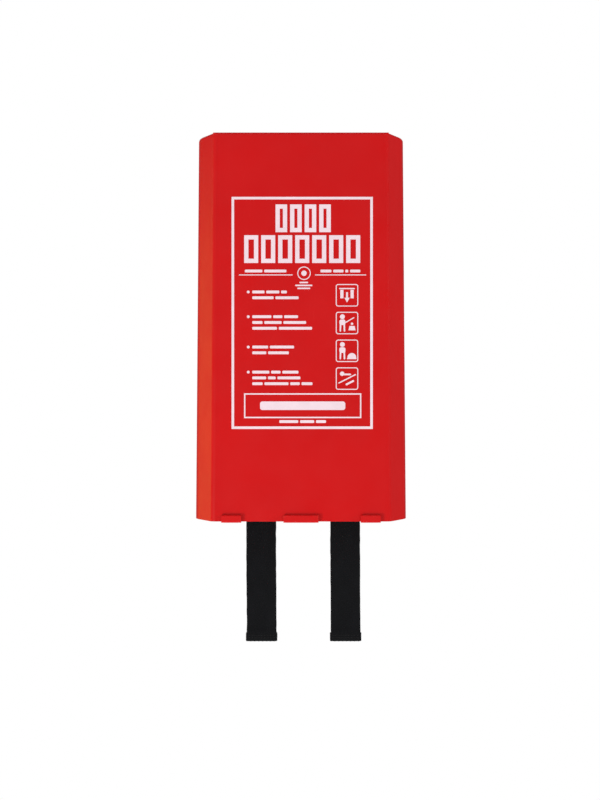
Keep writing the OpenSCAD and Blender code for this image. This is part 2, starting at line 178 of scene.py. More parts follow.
def moulded_plastic(name, colour, roughness, pale):
    """Satin moulded plastic: a slow change of shade, fine grain, paler edges that are painted edge
    highlight and rubbed wear, and light scuffs.
    """
    made, tree, shader = finish_of(name, colour, roughness)
    place = put(tree, "ShaderNodeTexCoord").outputs["Object"]
    cloud = spread(tree, grains(tree, place, 14, 3), 0.3, 0.7)
    shade = blended(tree, cloud, scaled(colour, 0.965), scaled(colour, 1.03))

    # Painted edge highlight, patchy like rubbed wear: near the rounded edges the colour turns to the
    # paler orange red.
    rounded_normal = put(tree, "ShaderNodeBevel", {"Radius": 1.4 * MM}, samples=4).outputs["Normal"]
    true_normal = put(tree, "ShaderNodeNewGeometry").outputs["Normal"]
    inputs = {0: rounded_normal, 1: true_normal}
    agree = put(tree, "ShaderNodeVectorMath", inputs, operation="DOT_PRODUCT").outputs["Value"]
    edge = spread(tree, agree, 0.995, 0.9)
    patches = spread(tree, grains(tree, place, 160, 4, 0.65), 0.47, 0.62)
    edge_highlight_and_wear = sum_of(tree, "MULTIPLY", sum_of(tree, "MULTIPLY", edge, patches), 0.35)
    shade = blended(tree, edge_highlight_and_wear, shade, pale)

    long_marks = stretched(tree, place, (900, 900, 60))
    marks = spread(tree, grains(tree, long_marks, 1, 1), 0.7, 0.78)
    marks = sum_of(tree, "MULTIPLY", marks, spread(tree, grains(tree, place, 30, 1), 0.5, 0.7))
    shade = blended(tree, sum_of(tree, "MULTIPLY", marks, 0.10), shade, pale)
    tree.links.new(shade, shader.inputs["Base Color"])

    touched = grains(tree, place, 45, 4, 0.6)
    smudges = spread(tree, touched, 0.25, 0.75, roughness - 0.06, roughness + 0.08)
    rough = sum_of(tree, "ADD", smudges, sum_of(tree, "MULTIPLY", edge_highlight_and_wear, 0.5))
    tree.links.new(rough, shader.inputs["Roughness"])
    shader.inputs["Specular IOR Level"].default_value = 0.26

    ripple = relief(tree, grains(tree, place, 60, 2), 0.05 * MM, 0.5)
    fine = relief(tree, grains(tree, place, 2600, 2), 0.012 * MM, 0.6, ripple)
    tree.links.new(relief(tree, marks, -0.01 * MM, 0.5, fine), shader.inputs["Normal"])
    return made


def screen_ink(name, colour, under):
    """Printed ink: nearly even, thin in specks where the plastic under it shows through."""
    made, tree, shader = finish_of(name, colour, 0.42)
    place = put(tree, "ShaderNodeTexCoord").outputs["Object"]
    cloud = spread(tree, grains(tree, place, 90, 3), 0.3, 0.7)
    shade = blended(tree, cloud, scaled(colour, 0.96), scaled(colour, 1.03))
    specks = spread(tree, grains(tree, place, 1500, 2, 0.7), 0.68, 0.76)
    worn_area = spread(tree, grains(tree, place, 35, 2), 0.45, 0.7)
    thin = sum_of(tree, "MULTIPLY", sum_of(tree, "MULTIPLY", specks, worn_area), 0.55)
    tree.links.new(blended(tree, thin, shade, under), shader.inputs["Base Color"])
    tree.links.new(spread(tree, cloud, 0, 1, 0.38, 0.48), shader.inputs["Roughness"])
    shader.inputs["Specular IOR Level"].default_value = 0.35
    grain = grains(tree, place, 3200, 2)
    tree.links.new(relief(tree, grain, 0.01 * MM, 0.5), shader.inputs["Normal"])
    return made


def woven_strap(name, colour):
    """Black webbing: yarn strands along the cords of the weave, dull sheen and a little lint."""
    made, tree, shader = finish_of(name, colour, 0.92)
    flat = put(tree, "ShaderNodeUVMap", uv_map="cloth").outputs["UV"]
    strands = grains(tree, stretched(tree, flat, (5200, 700, 0)), 1, 2, 0.6)
    fuzz = grains(tree, stretched(tree, flat, (2200, 1500, 0)), 1, 4, 0.7)
    tone = sum_of(tree, "MULTIPLY", sum_of(tree, "ADD", strands, fuzz), 0.5)
    shade = blended(tree, spread(tree, tone, 0.35, 0.65), scaled(colour, 0.6), scaled(colour, 1.55))
    faded = spread(tree, grains(tree, stretched(tree, flat, (90, 40, 0)), 1, 3), 0.4, 0.75, 0, 0.5)
    shade = blended(tree, faded, shade, scaled(colour, 1.8))
    lint = spread(tree, grains(tree, stretched(tree, flat, (1800, 500, 0)), 1, 1), 0.76, 0.8, 0, 0.5)
    shade = blended(tree, lint, shade, scaled(colour, 9))
    tree.links.new(shade, shader.inputs["Base Color"])
    tree.links.new(spread(tree, tone, 0.3, 0.7, 0.98, 0.8), shader.inputs["Roughness"])
    shader.inputs["Specular IOR Level"].default_value = 0.08
    shader.inputs["Sheen Weight"].default_value = 0.05
    shader.inputs["Sheen Roughness"].default_value = 0.6
    coarse = relief(tree, strands, 0.05 * MM, 0.9)
    tree.links.new(relief(tree, fuzz, 0.04 * MM, 0.7, coarse), shader.inputs["Normal"])
    return made


def twisted_thread(name, colour):
    """Sewing thread: slanted strands and a slight shine."""
    made, tree, shader = finish_of(name, colour, 0.7)
    place = put(tree, "ShaderNodeTexCoord").outputs["Object"]
    twist = grains(tree, stretched(tree, place, (5000, 5000, 2500)), 1, 2, 0.6)
    shade = blended(tree, spread(tree, twist, 0.35, 0.65), scaled(colour, 0.7), scaled(colour, 1.4))
    tree.links.new(shade, shader.inputs["Base Color"])
    tree.links.new(spread(tree, twist, 0.3, 0.7, 0.8, 0.6), shader.inputs["Roughness"])
    shader.inputs["Specular IOR Level"].default_value = 0.3
    tree.links.new(relief(tree, twist, 0.03 * MM, 0.8), shader.inputs["Normal"])
    return made


def glass_cloth(name, colour, side):
    """Plain-woven glass cloth, cut `side` square: crossing yarns, a double hem and faint creases."""
    yarn = 0.9 * MM
    hem = 12 * MM
    made, tree, shader = finish_of(name, colour, 0.62)
    flat = put(tree, "ShaderNodeUVMap", uv_map="cloth").outputs["UV"]
    across, along, _ = put(tree, "ShaderNodeSeparateXYZ", {0: flat}).outputs
    wander = sum_of(tree, "MULTIPLY", grains(tree, flat, 300, 2), 0.6)
    ways = []
    for way in (across, along):
        angle = sum_of(tree, "ADD", sum_of(tree, "MULTIPLY", way, TURN / yarn), wander)
        ways.append(sum_of(tree, "SINE", angle))
    crossing = sum_of(tree, "MULTIPLY", ways[0], ways[1])
    weave = spread(tree, crossing, -1, 1)
    slubs = grains(tree, stretched(tree, flat, (1300, 160, 0)), 1, 2, 0.6)
    weave_part = sum_of(tree, "MULTIPLY", weave, 0.6)
    tone = sum_of(tree, "ADD", weave_part, sum_of(tree, "MULTIPLY", slubs, 0.4))
    shade = blended(tree, tone, scaled(colour, 0.80), scaled(colour, 1.08))
    cloud = spread(tree, grains(tree, flat, 9, 4, 0.6), 0.35, 0.7, 0, 0.35)
    shade = blended(tree, cloud, shade, (colour[0] * 0.9, colour[1] * 0.86, colour[2] * 0.76))

    from_edges = []
    for way in (across, along):
        other_side = sum_of(tree, "SUBTRACT", side, way)
        from_edges.append(sum_of(tree, "MINIMUM", way, other_side))
    from_edge = sum_of(tree, "MINIMUM", from_edges[0], from_edges[1])
    band = spread(tree, from_edge, hem, hem - 0.4 * MM)
    shade = blended(tree, sum_of(tree, "MULTIPLY", band, 0.25), shade, scaled(colour, 0.72))
    tree.links.new(shade, shader.inputs["Base Color"])
    tree.links.new(spread(tree, tone, 0.2, 0.8, 0.7, 0.5), shader.inputs["Roughness"])
    shader.inputs["Specular IOR Level"].default_value = 0.4
    shader.inputs["Sheen Weight"].default_value = 0.25
    shader.inputs["Sheen Roughness"].default_value = 0.45

    step = relief(tree, band, 0.35 * MM, 0.8)
    cloth = relief(tree, weave, 0.10 * MM, 0.9, step)
    creases = grains(tree, stretched(tree, flat, (40, 55, 0)), 1, 4, 0.55)
    tree.links.new(relief(tree, creases, 0.9 * MM, 0.7, cloth), shader.inputs["Normal"])
    return made


# linear colours
RED = (0.60, 0.0016, 0.0026)
# paler orange red for the plastic: painted edge highlight, and the light scuffs
EDGE_HIGHLIGHT_AND_SCUFF_RED = (0.72, 0.10, 0.08)
INK = (0.88, 0.71, 0.78)
BLACK = (0.0036, 0.0039, 0.0049)
GLASS = (0.80, 0.77, 0.70)
BLACK_THREAD = (0.013, 0.013, 0.014)
PALE_THREAD = (0.62, 0.58, 0.50)
BLANKET_SIDE = 1.8  # the square of cloth, unfolded

cover_red = moulded_plastic("cover_red", RED, 0.36, EDGE_HIGHLIGHT_AND_SCUFF_RED)
back_red = moulded_plastic("back_red", scaled(RED, 0.93), 0.46, EDGE_HIGHLIGHT_AND_SCUFF_RED)
flap_red = moulded_plastic("flap_red", scaled(RED, 1.02), 0.38, EDGE_HIGHLIGHT_AND_SCUFF_RED)
ink = screen_ink("ink", INK, RED)
webbing_black = woven_strap("webbing_black", BLACK)
thread_black = twisted_thread("thread_black", BLACK_THREAD)
thread_pale = twisted_thread("thread_pale", PALE_THREAD)
cloth_white = glass_cloth("cloth_white", GLASS, BLANKET_SIDE)


# ---------------------------------------------------------------- carried-over CAD pieces


def dress(node, material):
    """Gives a CAD node its material in every slot."""
    piece = frame["nodes"][node]
    for slot in piece.material_slots:
        slot.material = material
    return piece


OUTER_CORNER = 2.4 * MM  # radius of the case's two top corners
HAIR = 0.005 * MM  # points of one shape that the mesh holds twice
SHORT_EDGE = 0.2 * MM  # edges too short to carry a wide rounding


def mark_edges(mesh, chosen):
    """Gives a full bevel weight to the edges whose two ends `chosen` accepts."""
    weights = mesh.attributes.new("bevel_weight_edge", "FLOAT", "EDGE")
    for edge in mesh.edges:
        start, end = (mesh.vertices[k].co for k in edge.vertices)
        if chosen(start, end):
            weights.data[edge.index].value = 1.0


def on_top_corner(start, end):
    """Whether an edge of the cover runs from front to back along a side of its top wall."""
    level = min(start.z, end.z) > cover_high.z - SAME
    outside = min(abs(start.x), abs(end.x)) > print_right
    ahead = end - start
    return level and outside and abs(ahead.y) > abs(ahead.x)


def on_plate_corner(start, end):
    """Whether an edge of the back plate runs through its thickness at one of its top corners."""
    at_top = min(start.z, end.z) > cover_high.z - SAME
    at_front = min(start.y, end.y) > cover_high.y - SAME
    ahead = end - start
    straight = abs(ahead.x) < SAME and abs(abs(start.x) - abs(end.x)) < 2 * SAME
    return at_top and at_front and straight and abs(ahead.y) > 2 * MM


def soften(piece, width, steps=3, sharper_than=32, corner=None):
    """Rounds a moulded piece's edges and smooths its faces, without touching its own mesh.
    corner is a wider radius for the edges that mark_edges chose."""
    for name in ("custom_normal", "sharp_edge", "sharp_face"):
        if name in piece.data.attributes:
            piece.data.attributes.remove(piece.data.attributes[name])
    piece.data.shade_smooth()
    weld = piece.modifiers.new("weld", "WELD")
    weld.merge_threshold = HAIR if corner is None else SHORT_EDGE
    flats = piece.modifiers.new("flats", "DECIMATE")
    flats.decimate_type = "DISSOLVE"
    flats.angle_limit = math.radians(0.3)
    if corner is not None:
        round_off = piece.modifiers.new("corners", "BEVEL")
        round_off.width = corner
        round_off.segments = 6
        round_off.limit_method = "WEIGHT"
        round_off.use_clamp_overlap = False
    bevel = piece.modifiers.new("edges", "BEVEL")
    bevel.width = width
    bevel.segments = steps
    bevel.limit_method = "ANGLE"
    bevel.angle_limit = math.radians(sharper_than)
    bevel.miter_outer = "MITER_ARC"
    normals = piece.modifiers.new("normals", "WEIGHTED_NORMAL")
    normals.keep_sharp = True


mark_edges(frame["nodes"]["front_cover"].data, on_top_corner)
mark_edges(frame["nodes"]["back_plate"].data, on_plate_corner)
soften(dress("front_cover", cover_red), 0.7 * MM, corner=OUTER_CORNER)
soften(dress("back_plate", back_red), 0.35 * MM, 2, corner=OUTER_CORNER)
soften(dress("bottom_flap", flap_red), 0.45 * MM)
dress("living_hinge", flap_red)
for node in frame["nodes"]:
    if node.startswith("print_"):
        dress(node, ink)


# ---------------------------------------------------------------- mesh helpers


def mesh_piece(name, points, faces, material, uv=None, smooth=True):
    """A mesh object from points and faces; uv holds one pair for each point."""
    mesh = bpy.data.meshes.new(name)
    mesh.from_pydata([tuple(p) for p in np.asarray(points, float)], [], faces)
    if uv is not None:
        layer = mesh.uv_layers.new(name="cloth")
        corners = np.zeros(len(mesh.loops), np.int32)
        mesh.loops.foreach_get("vertex_index", corners)
        layer.data.foreach_set("uv", np.asarray(uv, np.float32)[corners].ravel())
    mesh.polygons.foreach_set("use_smooth", [smooth] * len(mesh.polygons))
    mesh.materials.append(material)
    mesh.update()
    made = bpy.data.objects.new(name, mesh)
    bpy.context.scene.collection.objects.link(made)
    return made


def slow_noise(seed, length, reach):
    """A smooth random curve over a length, from about -1 to 1, with bends about `reach` apart."""
    chance = np.random.default_rng(seed)
    knots = chance.uniform(-1, 1, int(length / reach) + 4)

    def at(place):
        steps = np.clip(np.asarray(place, float) / reach, 0, len(knots) - 2.001) + 0.5
        left = np.floor(steps).astype(int)
        left = np.clip(left, 0, len(knots) - 2)
        share = steps - left
        share = share * share * (3 - 2 * share)
        return knots[left] * (1 - share) + knots[left + 1] * share

    return at


def eased(value, start, end):
    """0 before start, 1 after end, and smooth between them."""
    share = np.clip((np.asarray(value, float) - start) / (end - start), 0, 1)
    return share * share * (3 - 2 * share)


def line_with_arcs(start, heading, moves, spacing, arc_steps):
    """Points along straight runs and arcs in the Y-Z plane, with the unit vector to each one's left.
    heading is in radians from +Y towards +Z; a move is ("line", length) or ("arc", radius, angle)."""
    here = np.array(start, float)
    points, lefts = [here.copy()], [np.array([-math.sin(heading), math.cos(heading)])]
    for move in moves:
        if move[0] == "line":
            count = max(1, round(move[1] / spacing))
            ahead = np.array([math.cos(heading), math.sin(heading)])
            for _ in range(count):
                here = here + ahead * move[1] / count
                points.append(here.copy())
                lefts.append(np.array([-ahead[1], ahead[0]]))
        else:
            _, radius, angle = move
            side = 1 if angle > 0 else -1
            centre = here + side * radius * np.array([-math.sin(heading), math.cos(heading)])
            for _ in range(arc_steps):
                heading += angle / arc_steps
                left = np.array([-math.sin(heading), math.cos(heading)])
                here = centre - side * radius * left
                points.append(here.copy())
                lefts.append(left)
    return np.array(points), np.array(lefts)


def lengths_along(points):
    """The distance along a line of points, at each of them."""
    steps = np.linalg.norm(np.diff(points, axis=0), axis=1)
    return np.concatenate([[0], np.cumsum(steps)])


def grid_faces(rows, columns, closed=False):
    """Quads over a grid of points that are numbered row by row; closed joins last column to first."""
    last = columns if closed else columns - 1
    faces = []
    for r in range(rows - 1):
        for c in range(last):
            d = (c + 1) % columns
            this_row, next_row = r * columns, (r + 1) * columns
            faces.append((this_row + c, this_row + d, next_row + d, next_row + c))
    return faces


# ---------------------------------------------------------------- sewing thread


def stitch_points(runs, stitch, thread, lift):
    """Points and faces of a run of arched stitches along each (start, end, outward) run."""
    sides, rings = 6, 6
    points, faces = [], []
    for start, end, outward in runs:
        start, end, outward = (np.array(v, float) for v in (start, end, outward))
        whole = np.linalg.norm(end - start)
        ahead = (end - start) / whole
        beside = np.cross(outward, ahead)
        count = max(1, round(whole / stitch))
        step = whole / count
        for i in range(count):
            base = start + ahead * step * (i + 0.5)
            first = len(points)
            for r in range(rings):
                t = -1 + 2 * r / (rings - 1)
                middle = base + ahead * t * step * 0.42 + outward * lift * (1 - t * t)
                middle = middle + beside * thread * 0.12 * t
                size = thread / 2 * (0.35 + 0.65 * math.sqrt(max(0.0, 1 - t**4)))
                for s in range(sides):
                    a = TURN * s / sides
                    points.append(middle + size * (math.cos(a) * outward + math.sin(a) * beside))
            for face in grid_faces(rings, sides, closed=True):
                faces.append(tuple(first + k for k in face))
            faces.append(tuple(first + s for s in reversed(range(sides))))
            faces.append(tuple(first + (rings - 1) * sides + s for s in range(sides)))
    return points, faces


def sewn(name, runs, material, stitch, thread, lift):
    """One piece of sewing thread made of all its stitches."""
    points, faces = stitch_points(runs, stitch, thread, lift)
    return mesh_piece(name, points, faces, material)


# ---------------------------------------------------------------- pull straps

STRAP_CORDS = 16  # raised cords across the webbing
STRAP_PICK = 1.9 * MM  # length of one over and under of a cord
CORD_HEIGHT = 0.18 * MM
STRAP_STEP = 0.42 * MM  # mesh rows along the strap
STRAP_COLUMNS = 64
HEM_HEIGHT = 7.4 * MM  # how far up the back the folded end reaches
BLACK_STITCH = (2.6 * MM, 0.5 * MM)  # length and thickness
PALE_STITCH = (3.6 * MM, 0.55 * MM)


def strap_sizes(side):
    """Sizes and places of one strap, from its two CAD pieces."""
    anchor_low, anchor_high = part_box(side + "_strap_anchor")
    pull_low, pull_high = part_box(side + "_pull_strap")
    stitch_low, stitch_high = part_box(side + "_hem_stitching")
    return {
        "x": (anchor_low.x + anchor_high.x) / 2,
        "y": (anchor_low.y + anchor_high.y) / 2,
        "width": anchor_high.x - anchor_low.x,
        "thick": anchor_high.y - anchor_low.y,
        "top": anchor_high.z,
        "split": anchor_low.z,
        "bottom": pull_low.z,
        "hem_thick": pull_high.y - pull_low.y,
        "hem_wider": (pull_high.x - pull_low.x - (anchor_high.x - anchor_low.x)) / 2,
        "stitch_low": stitch_low.z,
        "stitch_high": stitch_high.z,
    }


def strap_path(s):
    """The strap's middle line in the Y-Z plane: down, round the folded hem, and up behind it."""
    half_gap = (s["hem_thick"] - s["thick"]) / 2
    fold_z = s["bottom"] + half_gap + s["thick"] / 2
    down = s["top"] - fold_z
    up = s["bottom"] + HEM_HEIGHT - fold_z
    moves = [("line", down), ("arc", half_gap, math.pi), ("line", up)]
    points, lefts = line_with_arcs((s["y"], s["top"]), -math.pi / 2, moves, STRAP_STEP, 8)
    along = lengths_along(points)
    forward = half_gap * eased(along, down - 12 * MM, down - 5 * MM)
    points[:, 0] -= np.where(along < down, forward, half_gap)
    return points, lefts, along, down


def pull_strap(side, seed):
    """One strap from its sewn top to its folded hem, as woven cords in one closed mesh.
    Also its sizes, with "middle" for its centre in X at a height, and its flat length."""
    s = strap_sizes(side)
    line, lefts, along, down = strap_path(s)
    whole = along[-1]
    hanging = eased(along, s["top"] - s["split"], s["top"] - s["split"] + 15 * MM)
    hanging *= 1 - eased(along, down - 25 * MM, down - 5 * MM)
    sway = slow_noise(seed, whole, 34 * MM)(along) * 0.55 * MM * hanging
    lean = 0.85 * MM * eased(along, 20 * MM, 50 * MM) + 0.4 * MM * eased(along, 70 * MM, whole)
    wander = slow_noise(seed + 1, whole, 45 * MM)(along) * 0.15 * MM
    drift = lean + wander * eased(along, 45 * MM, 70 * MM)
    twist = slow_noise(seed + 2, whole, 60 * MM)(along) * 0.03 * hanging
    edges = [slow_noise(seed + 3 + i, whole, 5 * MM)(along) * 0.13 * MM for i in range(2)]
    in_hem = eased(along, down - 6.4 * MM, down - 4.6 * MM)
    wider = (s["hem_wider"] - 0.15 * MM) * in_hem

    columns = np.linspace(-1, 1, STRAP_COLUMNS + 1)
    loop = np.concatenate([columns, columns[::-1]])
    face = np.concatenate([np.ones(len(columns)), -np.ones(len(columns))])
    half_thick = s["thick"] / 2 - CORD_HEIGHT * 0.5
    profile = (1 - np.abs(loop) ** 14) ** 0.5 * 0.82 + 0.18
    cord = (loop + 1) / 2 * STRAP_CORDS
    which = np.clip(np.floor(cord), 0, STRAP_CORDS - 1)
    across = np.sin(math.pi * (cord - which)) ** 0.7
    points = np.zeros((len(along), len(loop), 3))
    uv = np.zeros((len(along), len(loop), 2))
    for r in range(len(along)):
        pick = along[r] / STRAP_PICK + 0.5 * (which % 2) + 0.25 * (face < 0)
        over = 0.55 + 0.45 * np.cos(TURN * pick)
        height = half_thick + CORD_HEIGHT * (across * over - 0.15)
        left_edge, right_edge = (s["width"] / 2 + wider[r] + e[r] for e in edges)
        reach = np.where(loop < 0, left_edge, right_edge)
        off = face * height * profile
        points[r, :, 0] = s["x"] + drift[r] + loop * reach
        points[r, :, 1] = line[r, 0] + sway[r] + twist[r] * loop * reach - lefts[r, 0] * off
        points[r, :, 2] = line[r, 1] - lefts[r, 1] * off
        uv[r, :, 0] = loop * s["width"] / 2
        uv[r, :, 1] = along[r]
    rows, round_it = points.shape[:2]
    faces = grid_faces(rows, round_it, closed=True)
    faces.append(tuple(reversed(range(round_it))))
    faces.append(tuple((rows - 1) * round_it + c for c in range(round_it)))
    flat = uv.reshape(-1, 2)
    made = mesh_piece(side + "_webbing", points.reshape(-1, 3), faces, webbing_black, flat)
    made.data.validate()
    leg = along <= down
    s["middle"] = lambda z: s["x"] + float(np.interp(s["top"] - z, along[leg], drift[leg]))
    return made, s, whole


def fibres(name, roots, material, seed):
    """Loose yarn ends: a thin bent tube from each (root, direction, length, thickness)."""
    chance = np.random.default_rng(seed)
    sides, rings = 4, 6
    points, faces = [], []
    for root, way, length, thick in roots:
        root, way = np.array(root, float), np.array(way, float)
        way /= np.linalg.norm(way)
        bend = chance.normal(0, 0.55, 3)
        beside = np.cross(way, (0.31, 0.47, 0.83))
        beside /= np.linalg.norm(beside)
        upright = np.cross(way, beside)
        first = len(points)
        for r in range(rings):
            t = r / (rings - 1)
            middle = root + length * (way * t + bend * t * t * 0.6)
            size = thick / 2 * (1 - 0.6 * t)
            for k in range(sides):
                a = TURN * k / sides
                points.append(middle + size * (math.cos(a) * beside + math.sin(a) * upright))
        for face in grid_faces(rings, sides, closed=True):
            faces.append(tuple(first + k for k in face))
        faces.append(tuple(first + k for k in reversed(range(sides))))
        faces.append(tuple(first + (rings - 1) * sides + k for k in range(sides)))
    return mesh_piece(name, points, faces, material)


def strap_fray(side, s, seed):
    """Yarn ends along the cut edge of the hem, and fuzz along the strap's two selvedges."""
    chance = np.random.default_rng(seed)
    roots = []
    back_y = s["y"] + s["hem_thick"] / 2 - s["thick"] / 2
    cut_z = s["bottom"] + HEM_HEIGHT - 0.1 * MM
    for _ in range(150):
        x = s["middle"](s["bottom"]) + chance.uniform(-0.5, 0.5) * s["width"]
        y = back_y + chance.uniform(-0.4, 0.4) * s["thick"]
        way = (chance.normal(0, 0.35), chance.uniform(-0.1, 0.2), 1)
        roots.append(((x, y, cut_z - 0.3 * MM), way, chance.uniform(0.5, 1.3) * MM, 0.09 * MM))
    for _ in range(200):
        edge = chance.choice([-1, 1])
        z = chance.uniform(s["bottom"] + 8 * MM, s["split"] - 12 * MM)
        y = s["y"] + chance.uniform(-0.3, 0.3) * s["thick"]
        way = (edge, chance.normal(0, 0.5), chance.normal(0, 0.8))
        x = s["middle"](z) + edge * (s["width"] / 2 - 0.4 * MM)
        roots.append(((x, y, z), way, chance.uniform(0.5, 1.0) * MM, 0.06 * MM))
    for _ in range(70):
        edge = chance.choice([-1, 1])
        z = chance.uniform(s["bottom"] + 1.2 * MM, s["bottom"] + 6.8 * MM)
        y = s["y"] + chance.uniform(-0.35, 0.35) * s["hem_thick"]
        way = (edge, chance.normal(0, 0.4), chance.normal(0, 0.7))
        x = s["middle"](z) + edge * (s["width"] / 2 + 0.1 * MM)
        roots.append(((x, y, z), way, chance.uniform(0.5, 0.95) * MM, 0.08 * MM))
    return fibres(side + "_strap_fray", roots, webbing_black, seed)


def hem_rows(s):
    """The runs of thread that hold the folded hem, on its front and back."""
    half = s["width"] / 2 - 1 * MM
    runs = []
    for z in (s["stitch_low"] + 0.3 * MM, s["stitch_high"] - 0.3 * MM):
        for out in (-1, 1):
            x, y = s["middle"](z), s["y"] + out * (s["hem_thick"] / 2 - 0.06 * MM)
            runs.append(((x - half, y, z), (x + half, y, z), (0, out, 0)))
    return runs


def anchor_rows(side, s):
    """The box and cross of thread that hold the strap's top to the blanket."""
    low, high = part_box(side + "_anchor_stitching")
    y = s["y"] - s["thick"] / 2
    corners = [(low.x, low.z), (high.x, low.z), (high.x, high.z), (low.x, high.z)]
    ends = [(0, 1), (1, 2), (2, 3), (3, 0), (0, 2), (1, 3)]
    inset = 0.4 * MM
    middle_x, middle_z = (low.x + high.x) / 2, (low.z + high.z) / 2
    runs = []
    for a, b in ends:
        start, end = (
            (
                middle_x + (corners[k][0] - middle_x) * (1 - inset / (high.x - middle_x)),
                y,
                middle_z + (corners[k][1] - middle_z) * (1 - inset / (high.z - middle_z)),
            )
            for k in (a, b)
        )
        runs.append((start, end, (0, -1, 0)))
    return runs


for side, seed in (("left", 11), ("right", 47)):
    strap, sizes, strap_length = pull_strap(side, seed)
    hem = sewn(side + "_hem_thread", hem_rows(sizes), thread_black, *BLACK_STITCH, 0.12 * MM)
    box = anchor_rows(side, sizes)
    box_stitch = sewn(side + "_anchor_thread", box, thread_black, *BLACK_STITCH, 0.1 * MM)
    fray = strap_fray(side, sizes, seed + 7)
    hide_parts(side + "_strap_anchor", side + "_pull_strap")
    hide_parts(side + "_hem_stitching")
    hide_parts(side + "_anchor_stitching")
    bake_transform(strap)
    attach(hem, side + "_strap")
    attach(fray, side + "_strap")
    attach(box_stitch, "blanket")


# ---------------------------------------------------------------- folded blanket

LAYERS = 13  # of the strip, across
PITCH = 0.46 * MM  # from one layer to the next
CLOTH = 0.34 * MM  # thickness of one layer
PASS = 6.1 * MM  # depth of the strip's thirteen layers, evenly folded
PANEL_STEPS = 9
FOLD_STEPS = 4


def folds_across():
    """One row across the cloth: place in X, height in the stack, layer share, and flat length."""
    chance = random.Random(5)
    half = (pack_high.x - pack_low.x) / 2 - PITCH / 2 - CLOTH / 2
    xs, heights = [], []
    edge = [half - chance.uniform(0, 1.9) * MM for _ in range(LAYERS + 1)]
    free_edge = half - 21 * MM
    for layer in range(LAYERS):
        going = 1 if layer % 2 == 0 else -1
        start = -going * (edge[layer] if layer else free_edge)
        end = going * (edge[layer + 1] if layer < LAYERS - 1 else free_edge)
        height = (layer - (LAYERS - 1) / 2) * PITCH
        for k in range(PANEL_STEPS + 1):
            share = (1 - math.cos(math.pi * k / PANEL_STEPS)) / 2
            share = 0.55 * share + 0.45 * k / PANEL_STEPS
            xs.append(start + (end - start) * share)
            heights.append(height)
        if layer < LAYERS - 1:
            for k in range(1, FOLD_STEPS):
                a = math.pi * k / FOLD_STEPS
                xs.append(end + going * math.sin(a) * PITCH / 2)
                heights.append(height + (1 - math.cos(a)) * PITCH / 2)
    xs, heights = np.array(xs), np.array(heights)
    flat = lengths_along(np.stack([xs, heights], axis=1))
    return xs, heights, flat


def folds_along():
    """The middle line of the folded strip in the Y-Z plane: six passes and the hem with the straps.
    Y here runs from 0 at the pack's front, with every pass PASS deep, before the passes settle."""
    low, high = pack_low.z, pack_high.z
    half_stack = LAYERS * PITCH / 2
    tight = PASS / 2
    wide = PASS
    lowest = low + half_stack + 0.3 * MM
    turn = 4 * MM
    top_tight = high - tight - half_stack - 0.3 * MM
    top_wide = high - wide - half_stack - 0.3 * MM
    bottom_second = low + tight + half_stack + 0.4 * MM
    bottom_fourth = lowest + 2 * half_stack + tight + 0.6 * MM
    first = low + 1.2 * MM
    hem_top = low + 45.5 * MM
    half_turn = math.pi
    moves = [
        ("line", top_tight - first), ("arc", tight, -half_turn),
        ("line", top_tight - bottom_second), ("arc", tight, half_turn),
        ("line", top_wide - bottom_second), ("arc", wide, -half_turn),
        ("line", top_wide - bottom_fourth), ("arc", tight, half_turn),
        ("line", top_tight - bottom_fourth), ("arc", tight, -half_turn),
        ("line", top_tight - lowest - turn), ("arc", turn, -half_turn / 2),
        ("line", 3 * PASS - 2 * turn), ("arc", turn, -half_turn / 2),
        ("line", hem_top - lowest - turn),
    ]
    line, lefts = line_with_arcs((tight, first), math.pi / 2, moves, 13 * MM, 9)
    return line, lefts, lengths_along(line)


def settled(depth, z):
    """Real Y for a depth in the evenly folded pack: a slot stays open for the straps near the
    bottom, and above the hem the passes close up."""
    front, back = pack_low.y + 0.2 * MM, pack_high.y - 0.2 * MM
    strap_y = strap_sizes("left")["y"]
    knots = np.array([0, 3 * PASS, 3 * PASS + 1e-6, 4 * PASS, 7 * PASS])
    low_places = np.array([front, strap_y - 1.35 * MM, strap_y + 1.1 * MM, strap_y + 6.6 * MM, back])
    close = strap_y + 0.5 * MM
    high_places = np.array([front, close - 0.1 * MM, close, close + 0.1 * MM, back])
    low_y = np.interp(depth, knots, low_places)
    high_y = np.interp(depth, knots, high_places)
    share = eased(z, pack_low.z + 48 * MM, pack_low.z + 85 * MM)
    return low_y * (1 - share) + high_y * share


